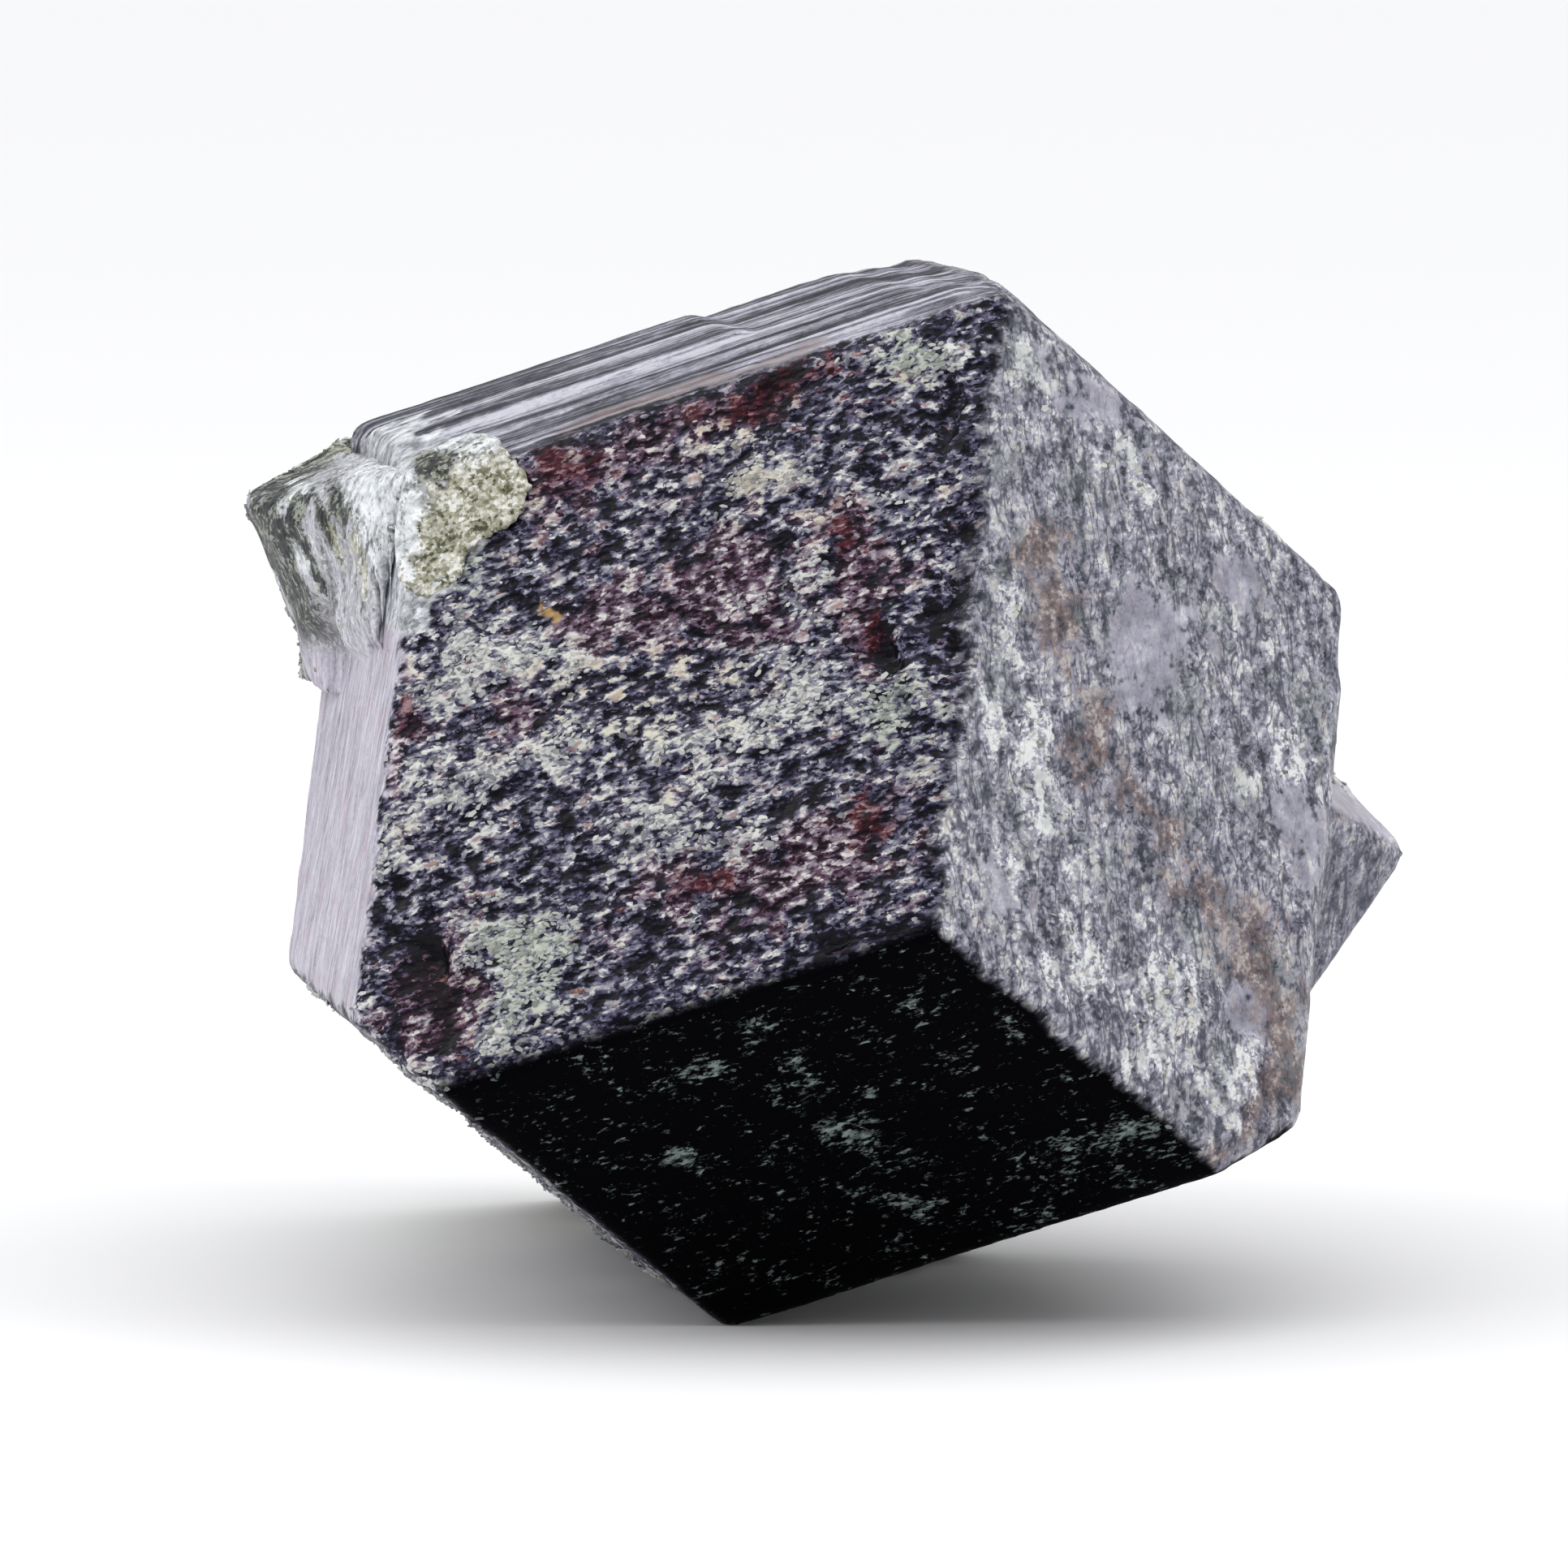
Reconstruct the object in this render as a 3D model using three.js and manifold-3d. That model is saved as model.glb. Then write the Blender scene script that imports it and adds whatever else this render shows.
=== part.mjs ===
// A garnet crystal in its matrix: a large dark dodecahedron with a smaller one grown into its side, and the
// mica schist that still clings to its back and upper left corner.
// Millimetres, +Z up, -Y to the viewer. The origin is under the middle of the specimen, where it rests.
import * as THREE from "three";
import { mergeVertices } from "three/addons/utils/BufferGeometryUtils.js";
import Module from "manifold-3d";

const wasm = await Module();
wasm.setup();

// The large crystal: how far each of its twelve faces grew from the centre
const FACE = {
  front: 21.7,
  right: 23.2,
  under: 26.1,
  left: 24.2,
  top: 22.7,
  upperRight: 24.2,
  rightSide: 23.6,
  bottom: 22.4,
  lowerLeft: 24.5,
  backTop: 23.3,
  backLeft: 23.3,
  backRight: 24.6,
};
const LEAN = 10.1; // degrees that the crystal leans to the right
const TURN = 10.2; // degrees that its front corner is turned to the right

// Growth terraces: thin plates left on a face, their sides parallel to the faces named in inset
const TERRACES = [
  { on: "top", rise: 0.35, inset: { front: 1.6, upperRight: 0.8 } },
  { on: "top", rise: 0.7, inset: { front: 4.2, upperRight: 2.2, left: 1.5 } },
  { on: "top", rise: 1.15, inset: { front: 7.0, upperRight: 8.9, backTop: 0.6 } },
  { on: "right", rise: 0.3, inset: { upperRight: 9.0, front: 4.0 } },
  { on: "right", rise: 0.25, inset: { under: 17.0, front: 9.0 } },
  { on: "upperRight", rise: 0.45, inset: { right: 3.0, backTop: 8.0 } },
  { on: "upperRight", rise: 0.8, inset: { right: 8.0, rightSide: 9.0 } },
  { on: "rightSide", rise: 0.45, inset: { upperRight: 3.0, backRight: 9.0 } },
  { on: "backTop", rise: 0.6, inset: { top: 3.0, backRight: 6.0 } },
  { on: "backTop", rise: 0.95, inset: { upperRight: 8.0, backLeft: 9.0, backRight: 2.0 } },
  { on: "backRight", rise: 0.5, inset: { bottom: 6.0, backTop: 3.0 } },
  { on: "bottom", rise: 0.4, inset: { under: 6.0, lowerLeft: 12.0 } },
];

// The small crystal in the right side: its even face distance, its centre, and its turns in degrees
const SMALL_FACE = 9.4;
const SMALL_CENTRE = [17.55, 4.2, -4.85];
const SMALL_TIP_UP = 4.0;
const SMALL_SPIN = -24;

const EDGE_WEAR = 0.32; // depth taken off every edge of the large crystal
const CORNER_WEAR = 0.75; // depth taken off every corner of it
const SMALL_WEAR = 0.2;

// Pits in the two front faces, mostly along the edge between them: place in front view and radius
const PITS = [
  { on: "front", x: 7.2, z: 12.6, radius: 1.5 },
  { on: "front", x: 6.9, z: 8.6, radius: 1.4 },
  { on: "front", x: 4.0, z: 6.4, radius: 1.2 },
  { on: "front", x: 6.3, z: 4.6, radius: 1.2 },
];
const PIT_DEPTH = 0.6; // depth of a pit as a share of its radius
const PIT_DETAIL = 1;

const REST_DEPTH = 26.05; // from the crystal's centre down to the surface it rests on
const GAP = 0.3; // between the crystal and the schist

// The schist behind the crystal: sheets stacked from front to back, each a broken oval in front view
const SHEETS = 12;
const SHEET_THICKNESS = 2.7;
const FIRST_SHEET_BACK = 6.0;
const SHEET_TURN = 16; // degrees that the sheets face round to the left
const SHEET_TILT = 5; // most degrees that one sheet is tilted against the stack
const SHEET_CENTRE = [-4.0, -11.0];
const SHEET_SLIP = 1.6; // most that one sheet is slipped sideways
const REACH = { left: 24.0, right: 14.5, up: 25.0, down: 26.0 };
const SHEET_OVERLAP = 1.7; // times thicker than its place in the stack, so that no seam is open
const ROUNDING = 13.2; // the sheets shrink toward the back like a dome this many sheets deep
const BREAK = 0.13; // raggedness of the broken rim
const RIM_POINTS = 17;
const OVAL = 2.4; // squareness of the oval
const CLEAR_OF_LOWER_LEFT = 0.8; // the schist stays this far inside the plane of the lower left face
const LEFT_LIMIT = 23.6; // and this far left of the crystal's centre
const FOOT_SHOWS = 0.4; // of the schist's foot, this much is seen under the crystal from the front
const SIGHT_DROP = 5.7; // degrees that this view looks down

// The flare of schist on the left face: how far it stands off the face at each height above the centre,
// and the share of that from front to back
const FLARE = [
  { height: 4.4, out: 0.5 },
  { height: 6.4, out: 1.3 },
  { height: 8.5, out: 2.3 },
  { height: 10.6, out: 3.6 },
  { height: 12.3, out: 4.9 },
  { height: 13.5, out: 5.7 },
  { height: 14.5, out: 5.7 },
  { height: 15.4, out: 5.0 },
  { height: 16.4, out: 3.6 },
  { height: 20.0, out: 2.4 },
];
const FLARE_PROFILE = [
  { y: -12.0, share: 0.0 },
  { y: -9.0, share: 0.04 },
  { y: -6.0, share: 0.14 },
  { y: -3.0, share: 0.34 },
  { y: 0.0, share: 0.64 },
  { y: 3.0, share: 0.9 },
  { y: 6.0, share: 1.0 },
  { y: 9.0, share: 0.88 },
  { y: 12.0, share: 0.5 },
  { y: 15.0, share: -0.1 },
];
const FLARE_SKIN = 0.42; // its thickness where it lies flat on the face
const FLARE_ROOT = -15.5; // how far it reaches inward
const FLARE_HUB = [-17, 2]; // a place in plan inside every ring of it
const FLARE_RAGGED = 0.28; // most that a point of it is displaced
const FLARE_CAP = 0.3; // it ends this far above the plane of the top face

// Crust on the crystal's faces: its thickness, and the lumps of space it fills
const CRUST = 0.5;
const CRUSTS = [
  { at: [-17.9, -13.0, 16.2], half: [3.3, 4.5, 3.4] },
  { at: [-19.5, -13.5, 13.6], half: [2.2, 4.5, 2.9] },
];

// The lump of schist that joins the flare to the sheets: centre and half sizes
const JOINING_LUMP = { at: [-19.0, 14.0, 11.0], half: [7.4, 7.0, 5.6] };

// Lumps are balls with a few seeded ripples over them
const LUMP_DETAIL = 3;
const LUMP_ROUGHNESS = 0.045; // depth of a ripple as a share of the lump's size
const RIPPLES = 7;
const RIPPLE_TURNS = 11; // radians that a ripple may turn through over a lump
const SEED = { pit: 31, lump: 12, crust: 10, sheet: 101, flare: 5 };

const FAR = 160; // size of the blocks that planes are cut from
const SLIVER = 0.02; // detail smaller than this is smoothed away

const garnetFinish = new THREE.MeshStandardMaterial({ color: 0x2b2429, roughness: 0.45, metalness: 0.1 });
const schistFinish = new THREE.MeshStandardMaterial({ color: 0x8d9088, roughness: 0.6, metalness: 0.1 });

// A three.js geometry as a solid, and back
function solidOf(geometry) {
  const bare = geometry.clone();
  bare.deleteAttribute("normal");
  bare.deleteAttribute("uv");
  const merged = mergeVertices(bare, 1e-4);
  return new wasm.Manifold(
    new wasm.Mesh({
      numProp: 3,
      vertProperties: merged.attributes.position.array,
      triVerts: new Uint32Array(merged.index.array),
    }),
  );
}

function geometryOf(solid) {
  const mesh = solid.simplify(SLIVER).getMesh();
  const geometry = new THREE.BufferGeometry();
  geometry.setAttribute("position", new THREE.BufferAttribute(mesh.vertProperties, 3));
  geometry.setIndex(new THREE.BufferAttribute(mesh.triVerts, 1));
  geometry.computeVertexNormals();
  return geometry;
}

const joined = (solids) => solids.reduce((whole, solid) => whole.add(solid));
const degrees = THREE.MathUtils.degToRad;

// A repeatable stream of numbers from 0 to 1
function numbers(seed) {
  let state = seed;
  return () => {
    state = (Math.imul(state, 1664525) + 1013904223) >>> 0;
    return state / 4294967296;
  };
}

// The four growth directions of a cubic crystal seen down a corner: one to the viewer, one up, two down
const GROWTH = {
  near: new THREE.Vector3(0, -1, 0),
  up: new THREE.Vector3(0, 1 / 3, Math.sqrt(8) / 3),
  left: new THREE.Vector3(-Math.sqrt(2 / 3), 1 / 3, -Math.sqrt(2) / 3),
  right: new THREE.Vector3(Math.sqrt(2 / 3), 1 / 3, -Math.sqrt(2) / 3),
};

// Each dodecahedron face looks along one growth direction less another
const FACE_PAIRS = {
  front: ["near", "right"],
  right: ["near", "left"],
  under: ["near", "up"],
  left: ["left", "right"],
  top: ["up", "right"],
  upperRight: ["up", "left"],
  rightSide: ["right", "left"],
  bottom: ["right", "up"],
  lowerLeft: ["left", "up"],
  backTop: ["up", "near"],
  backLeft: ["left", "near"],
  backRight: ["right", "near"],
};

const NORMALS = Object.fromEntries(
  Object.entries(FACE_PAIRS).map(([name, [plus, minus]]) => [
    name,
    GROWTH[plus].clone().sub(GROWTH[minus]).normalize(),
  ]),
);

// Directions of the edges, halfway between two faces 60 degrees apart, and of both kinds of corner
const faceNormals = Object.values(NORMALS);
const EDGES = faceNormals.flatMap((a, i) =>
  faceNormals
    .slice(i + 1)
    .filter((b) => Math.abs(a.dot(b) - 0.5) < 1e-6)
    .map((b) => a.clone().add(b).normalize()),
);
const CORNERS = [
  ...Object.values(GROWTH).flatMap((g) => [g.clone(), g.clone().negate()]),
  ...["up", "left", "right"].flatMap((name) => {
    const axis = GROWTH.near.clone().add(GROWTH[name]).normalize();
    return [axis, axis.clone().negate()];
  }),
];

// The large crystal's lean and turn, and a face normal carried round by them
const STANCE = new THREE.Euler(0, degrees(LEAN), degrees(TURN), "ZYX");
const turned = (normal) => normal.clone().applyEuler(STANCE);

const kept = (solid, normal, distance) => solid.trimByPlane([-normal.x, -normal.y, -normal.z], -distance);

// How far a solid reaches in a direction
function reach(solid, normal) {
  const { vertProperties, numProp } = solid.getMesh();
  let most = -Infinity;
  for (let i = 0; i < vertProperties.length; i += numProp) {
    const [x, y, z] = vertProperties.subarray(i, i + 3);
    most = Math.max(most, normal.x * x + normal.y * y + normal.z * z);
  }
  return most;
}

// Takes the same depth off a solid in each of several directions
function worn(solid, directions, depth) {
  const reaches = directions.map((direction) => reach(solid, direction));
  return directions.reduce((whole, direction, i) => kept(whole, direction, reaches[i] - depth), solid);
}

// A dodecahedron with a distance for each face, in its own upright frame
function dodecahedron(distances, edgeWear, cornerWear) {
  const block = solidOf(new THREE.BoxGeometry(FAR, FAR, FAR));
  const sharp = Object.entries(distances).reduce(
    (whole, [name, distance]) => kept(whole, NORMALS[name], distance),
    block,
  );
  return worn(worn(sharp, CORNERS, cornerWear), EDGES, edgeWear);
}

// The large crystal with its terraces, every face moved out by extra
function largeCrystal(extra) {
  const faces = Object.fromEntries(Object.entries(FACE).map(([name, d]) => [name, d + extra]));
  const terraces = TERRACES.map(({ on, rise, inset }) => {
    const plate = { ...faces, [on]: faces[on] + rise };
    for (const [name, depth] of Object.entries(inset)) plate[name] -= depth;
    return dodecahedron(plate, EDGE_WEAR / 2, CORNER_WEAR / 2);
  });
  const turn = new THREE.Matrix4().makeRotationFromEuler(STANCE);
  return joined([dodecahedron(faces, EDGE_WEAR, CORNER_WEAR), ...terraces]).transform(turn.elements);
}

// The small crystal, one of its four-sided corners pointing right
function smallCrystal(extra) {
  const distances = Object.fromEntries(Object.keys(FACE).map((name) => [name, SMALL_FACE + extra]));
  const corner = GROWTH.near.clone().add(GROWTH.right).normalize();
  const aim = new THREE.Quaternion().setFromUnitVectors(corner, new THREE.Vector3(1, 0, 0));
  const spin = new THREE.Quaternion().setFromEuler(
    new THREE.Euler(degrees(SMALL_SPIN), degrees(-SMALL_TIP_UP), 0, "YXZ"),
  );
  const place = new THREE.Matrix4().compose(
    new THREE.Vector3(...SMALL_CENTRE),
    spin.multiply(aim),
    new THREE.Vector3(1, 1, 1),
  );
  return dodecahedron(distances, SMALL_WEAR, SMALL_WEAR).transform(place.elements);
}

// The surface the specimen rests on, as the block of space under it
const ground = solidOf(new THREE.BoxGeometry(FAR, FAR, FAR).translate(0, 0, -REST_DEPTH - FAR / 2));

// A rough lump, stretched to its half sizes
function lump({ at, half }, seed, detail) {
  const draw = numbers(seed);
  const waves = Array.from({ length: RIPPLES }, () => ({
    along: new THREE.Vector3(draw() - 0.5, draw() - 0.5, draw() - 0.5).multiplyScalar(RIPPLE_TURNS),
    start: draw() * Math.PI * 2,
  }));
  const ball = new THREE.IcosahedronGeometry(1, detail);
  const points = ball.attributes.position;
  const point = new THREE.Vector3();
  for (let i = 0; i < points.count; i++) {
    point.fromBufferAttribute(points, i).normalize();
    const ripple = waves.reduce((sum, { along, start }) => sum + Math.cos(along.dot(point) + start), 0);
    point.multiplyScalar(1 + LUMP_ROUGHNESS * ripple);
    points.setXYZ(i, point.x, point.y, point.z);
  }
  ball.scale(...half).translate(...at);
  return solidOf(ball);
}

// One sheet of schist: a ragged oval, as thick as a sheet, standing across the specimen
function sheet(index) {
  const draw = numbers(SEED.sheet + index);
  const either = (most) => most * (2 * draw() - 1);
  const share = Math.sqrt(1 - (index / ROUNDING) ** 2);
  const rim = Array.from({ length: RIM_POINTS }, (_, i) => {
    const angle = ((i + either(0.35)) / RIM_POINTS) * Math.PI * 2;
    const across = Math.cos(angle) / (Math.cos(angle) > 0 ? REACH.right : REACH.left);
    const upward = Math.sin(angle) / (Math.sin(angle) > 0 ? REACH.up : REACH.down);
    const oval = (Math.abs(across) ** OVAL + Math.abs(upward) ** OVAL) ** (-1 / OVAL);
    const radius = oval * share * (1 + either(BREAK));
    return new THREE.Vector2(radius * Math.cos(angle), radius * Math.sin(angle));
  });
  const slab = new THREE.ExtrudeGeometry(new THREE.Shape(rim), {
    depth: SHEET_THICKNESS * SHEET_OVERLAP,
    bevelEnabled: false,
  });
  slab.rotateX(Math.PI / 2 + degrees(either(SHEET_TILT)));
  slab.rotateZ(degrees(either(SHEET_TILT)));
  slab.translate(
    SHEET_CENTRE[0] + either(SHEET_SLIP),
    FIRST_SHEET_BACK + index * SHEET_THICKNESS,
    SHEET_CENTRE[1] + either(SHEET_SLIP),
  );
  slab.rotateZ(degrees(SHEET_TURN));
  return solidOf(slab);
}

// The flare of schist: rings stacked up the left face, each following the profile
function flare() {
  const draw = numbers(SEED.flare);
  const either = () => FLARE_RAGGED * (2 * draw() - 1);
  const face = turned(NORMALS.left);
  const rings = FLARE.map(({ height, out }) => {
    const rim = FLARE_PROFILE.map(({ y, share }) => {
      const x = (FACE.left - face.y * y - face.z * height) / face.x;
      return [x - FLARE_SKIN - out * share + either() * share, y + either(), height];
    });
    const ends = [rim.at(-1), rim[0]].map(([, y]) => [FLARE_ROOT, y, height]);
    return [...rim, ...ends];
  });
  const size = rings[0].length;
  const lid = (rings.length - 1) * size;
  const hubs = [rings[0], rings.at(-1)].map((ring) => [...FLARE_HUB, ring[0][2]]);
  const triangles = rings[0].flatMap((_, i) => {
    const next = (i + 1) % size;
    const walls = FLARE.slice(1).flatMap((_, level) => {
      const [a, b] = [level * size + i, level * size + next];
      return [a, a + size, b, b, a + size, b + size];
    });
    return [...walls, i, next, lid + size, lid + next, lid + i, lid + size + 1];
  });
  const shape = new THREE.BufferGeometry();
  shape.setAttribute("position", new THREE.Float32BufferAttribute([...rings.flat(), ...hubs].flat(), 3));
  shape.setIndex(triangles);
  return kept(solidOf(shape), turned(NORMALS.top), FACE.top + FLARE_CAP);
}

// A pit: a rough ball standing on its face, sunk to its depth
function pit({ on, x, z, radius }, seed) {
  const normal = turned(NORMALS[on]);
  const y = (FACE[on] - normal.x * x - normal.z * z) / normal.y;
  const out = normal.multiplyScalar(radius * (1 - PIT_DEPTH));
  return lump({ at: [x + out.x, y + out.y, z + out.z], half: [radius, radius, radius] }, seed, PIT_DETAIL);
}

// Both crystals as one solid, with the pits, cut level where it rests
function garnet() {
  const pits = PITS.map((place, i) => pit(place, SEED.pit + i));
  return joined([largeCrystal(0), smallCrystal(0)]).subtract(joined(pits)).subtract(ground);
}

// The downward normal of the plane of sight along the large crystal's lower right edge
function underSight() {
  const sight = new THREE.Vector3(0, Math.cos(degrees(SIGHT_DROP)), -Math.sin(degrees(SIGHT_DROP)));
  return sight.cross(turned(GROWTH.left)).normalize().negate();
}

// Thin crust that follows the crystal's faces
function crust() {
  const patches = CRUSTS.map((patch, i) => lump(patch, SEED.crust + i, LUMP_DETAIL));
  return joined(patches).intersect(largeCrystal(GAP + CRUST));
}

// All the schist, with room left for the crystals, cut level where it rests
function schist() {
  const sheets = Array.from({ length: SHEETS }, (_, i) => sheet(i));
  const behind = kept(joined(sheets), turned(NORMALS.lowerLeft), FACE.lowerLeft - CLEAR_OF_LOWER_LEFT);
  const above = kept(behind, underSight(), reach(largeCrystal(0), underSight()) + FOOT_SHOWS);
  const rock = kept(above, new THREE.Vector3(-1, 0, 0), LEFT_LIMIT);
  const corner = [flare(), crust(), lump(JOINING_LUMP, SEED.lump, LUMP_DETAIL)];
  const carved = joined([rock, ...corner])
    .subtract(joined([largeCrystal(GAP), smallCrystal(GAP)]))
    .subtract(ground);
  return carved.decompose().sort((a, b) => b.volume() - a.volume())[0];
}

function named(name, solid, finish) {
  const mesh = new THREE.Mesh(geometryOf(solid), finish);
  mesh.name = name;
  return mesh;
}

const specimen = new THREE.Group();
specimen.name = "garnet_in_matrix";
specimen.add(named("garnet_crystals", garnet(), garnetFinish));
specimen.add(named("schist_matrix", schist(), schistFinish));

// Stand the specimen on the origin, under the middle of its box
const middle = new THREE.Box3().setFromObject(specimen).getCenter(new THREE.Vector3());
specimen.position.set(-middle.x, -middle.y, REST_DEPTH);

export default specimen;
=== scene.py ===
import math

import bmesh
import bpy
import numpy as np
from mathutils import Matrix, Vector


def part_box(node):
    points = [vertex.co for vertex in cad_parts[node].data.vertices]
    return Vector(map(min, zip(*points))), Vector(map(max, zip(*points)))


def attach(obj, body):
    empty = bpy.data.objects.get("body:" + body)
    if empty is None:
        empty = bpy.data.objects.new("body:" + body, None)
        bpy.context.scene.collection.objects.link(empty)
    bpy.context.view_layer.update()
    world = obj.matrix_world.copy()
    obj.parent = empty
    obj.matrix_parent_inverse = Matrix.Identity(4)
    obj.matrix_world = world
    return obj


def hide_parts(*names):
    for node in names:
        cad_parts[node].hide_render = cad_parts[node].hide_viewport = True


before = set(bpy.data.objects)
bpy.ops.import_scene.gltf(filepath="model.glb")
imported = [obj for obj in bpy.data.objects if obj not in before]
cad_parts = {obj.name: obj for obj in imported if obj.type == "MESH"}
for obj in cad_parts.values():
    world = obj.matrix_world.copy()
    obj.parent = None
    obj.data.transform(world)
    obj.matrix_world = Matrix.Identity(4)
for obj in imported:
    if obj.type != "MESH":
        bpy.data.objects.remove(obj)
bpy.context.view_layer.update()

# The garnet: two almandine crystals grown into each other, hard, dark red to black, with flat worn faces.
# A thin coat of mica and chlorite follows each face in its own way: flaky in front, fibrous at the sides,
# black and almost bare below, the black being partly the garnet's own colour and partly painted shade.
MM = 0.001
GARNET_CELL = 0.40 * MM
WELD = 0.001 * MM  # points closer than this are one point
SMOOTHING_ROUNDS = 5
CENTRE_IN_BOX = (27.31, 28.14, 26.05)  # the large crystal's centre from the low corner of its box, in mm
LEAN = math.radians(10.1)
TURN = math.radians(10.2)
VIEW_DROP = math.radians(5.67)  # the marks are placed as seen from the front, looking down this much
VIEW_DISTANCE = 575.6

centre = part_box("garnet_crystals")[0] / MM + Vector(CENTRE_IN_BOX)

stance = Matrix.Rotation(TURN, 3, "Z") @ Matrix.Rotation(LEAN, 3, "Y")
DOWN = math.sqrt(2) / 3
ASIDE = math.sqrt(2 / 3)
growth = {
    "near": stance @ Vector((0, -1, 0)),
    "up": stance @ Vector((0, 1 / 3, 2 * DOWN)),
    "left": stance @ Vector((-ASIDE, 1 / 3, -DOWN)),
    "right": stance @ Vector((ASIDE, 1 / 3, -DOWN)),
}
# Each face: the growth directions that it leans toward and away from, its coat, which is speckled, fibrous,
# silky, shaded bare (near black below, partly painted shade) or ruled with fine ledges, and its distance
# from the centre in mm
FACES = {
    "front": ("near", "right", "speckled", 21.7),
    "right": ("near", "left", "fibrous", 23.2),
    "under": ("near", "up", "bare", 26.1),
    "left": ("left", "right", "silky", 24.2),
    "top": ("up", "right", "ruled", 22.7),
    "upper_right": ("up", "left", "fibrous", 24.2),
    "right_side": ("right", "left", "fibrous", 23.6),
    "bottom": ("right", "up", "bare", 22.4),
    "lower_left": ("left", "up", "speckled", 24.5),
    "back_top": ("up", "near", "ruled", 23.3),
    "back_left": ("left", "near", "fibrous", 23.3),
    "back_right": ("right", "near", "speckled", 24.6),
}
normals = {}
coats = {}
distances = {}
for name, (toward, away, coat, distance) in FACES.items():
    normals[name] = (growth[toward] - growth[away]).normalized()
    coats[name] = coat
    distances[name] = distance


def fine_mesh(node, cell, rounds):
    """An even-celled copy of a CAD node, its stair steps smoothed away by a few rounds of averaging."""
    merged = bmesh.new()
    merged.from_mesh(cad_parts[node].data)
    bmesh.ops.remove_doubles(merged, verts=merged.verts, dist=WELD)
    mesh = bpy.data.meshes.new(node + "_merged")
    merged.to_mesh(mesh)
    merged.free()
    holder = bpy.data.objects.new(node + "_merged", mesh)
    bpy.context.scene.collection.objects.link(holder)
    remesh = holder.modifiers.new("cells", "REMESH")
    remesh.mode = "VOXEL"
    remesh.voxel_size = cell
    smooth = holder.modifiers.new("smooth", "SMOOTH")
    smooth.factor = 0.5
    smooth.iterations = rounds
    fine = bpy.data.meshes.new_from_object(holder.evaluated_get(bpy.context.evaluated_depsgraph_get()))
    bpy.data.objects.remove(holder)
    bpy.data.meshes.remove(mesh)
    return fine


def points_of(mesh):
    """A mesh's vertices and their normals, in mm from the large crystal's centre."""
    places = np.empty(len(mesh.vertices) * 3)
    mesh.vertices.foreach_get("co", places)
    outward = np.empty(len(mesh.vertices) * 3)
    mesh.vertex_normals.foreach_get("vector", outward)
    return places.reshape(-1, 3) / MM - np.array(centre), outward.reshape(-1, 3)


def put_points(mesh, points):
    """Moves a mesh's vertices, keeping them above the floor."""
    places = (points + np.array(centre)) * MM
    places[:, 2] = np.maximum(places[:, 2], 0.0)
    mesh.vertices.foreach_set("co", places.ravel())
    mesh.update()


def noise(points, size, seed):
    """Smooth noise from -1 to 1, with lumps of the given size in mm, which may differ along X, Y and Z."""
    grid = points / np.array(size)
    corner = np.floor(grid).astype(np.int64)
    part = grid - corner
    part = part * part * (3 - 2 * part)
    cell_primes = np.array([73856093, 19349663, 83492791])
    seed_prime = 668265263
    mixing_prime = 1274126177
    total = np.zeros(len(points))
    for step in np.ndindex(2, 2, 2):
        key = (corner + step) @ cell_primes + seed * seed_prime
        key = (key ^ (key >> 13)) * mixing_prime
        key = ((key ^ (key >> 16)) & 0xFFFF) / 32767.5 - 1
        total += key * np.prod(np.where(step, part, 1 - part), axis=1)
    return total


def drawn_out(points, direction, times):
    """Points squeezed along a direction, so that noise on them is drawn out along it."""
    along = np.array(direction)
    return points - np.outer(points @ along, along) * (1 - 1 / times)


def ramp(values, low, high):
    """0 below low, 1 above high, smooth between."""
    share = np.clip((values - low) / (high - low), 0, 1)
    return share * share * (3 - 2 * share)


def front_view(points):
    """Where points are seen from the front: mm across and up from the large crystal's centre."""
    behind = points[:, 1] * math.cos(VIEW_DROP) - points[:, 2] * math.sin(VIEW_DROP)
    up = points[:, 1] * math.sin(VIEW_DROP) + points[:, 2] * math.cos(VIEW_DROP)
    near = VIEW_DISTANCE / (VIEW_DISTANCE + behind)
    return np.stack([points[:, 0] * near, up * near], axis=1)


def strayed(view, points, far, seed):
    """Places in the front view moved about by so many mm, so that marks drawn there get ragged outlines."""
    shift = [noise(points, 2.6, seed + i) + 0.7 * noise(points, 1.1, seed + 2 + i) for i in range(2)]
    return view + far * np.stack(shift, axis=1)


def ovals(view, marks):
    """How deep each point lies in soft ovals of across, up, half width, half height and turn in degrees."""
    depth = np.zeros(len(view))
    for across, up, wide, tall, turn in marks:
        cosine = math.cos(math.radians(turn))
        sine = math.sin(math.radians(turn))
        x = ((view[:, 0] - across) * cosine + (view[:, 1] - up) * sine) / wide
        y = ((view[:, 1] - up) * cosine - (view[:, 0] - across) * sine) / tall
        depth = np.maximum(depth, np.exp(-x * x - y * y))
    return depth


def along_line(view, line, width):
    """How close each point is to a line of points, soft over a width."""
    nearest = np.full(len(view), np.inf)
    for start, end in zip(line, line[1:]):
        span = np.array(end) - np.array(start)
        offset = view - np.array(start)
        share = np.clip(offset @ span / (span @ span), 0, 1)
        nearest = np.minimum(nearest, np.linalg.norm(offset - share[:, None] * span, axis=1))
    return np.exp(-((nearest / width) ** 2))


def keep(mesh, **layers):
    """Stores values on a mesh's points under their names."""
    for name, values in layers.items():
        layer = mesh.attributes.new(name, "FLOAT", "POINT")
        layer.data.foreach_set("value", np.clip(values, 0, 1).astype(np.float32))


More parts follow.
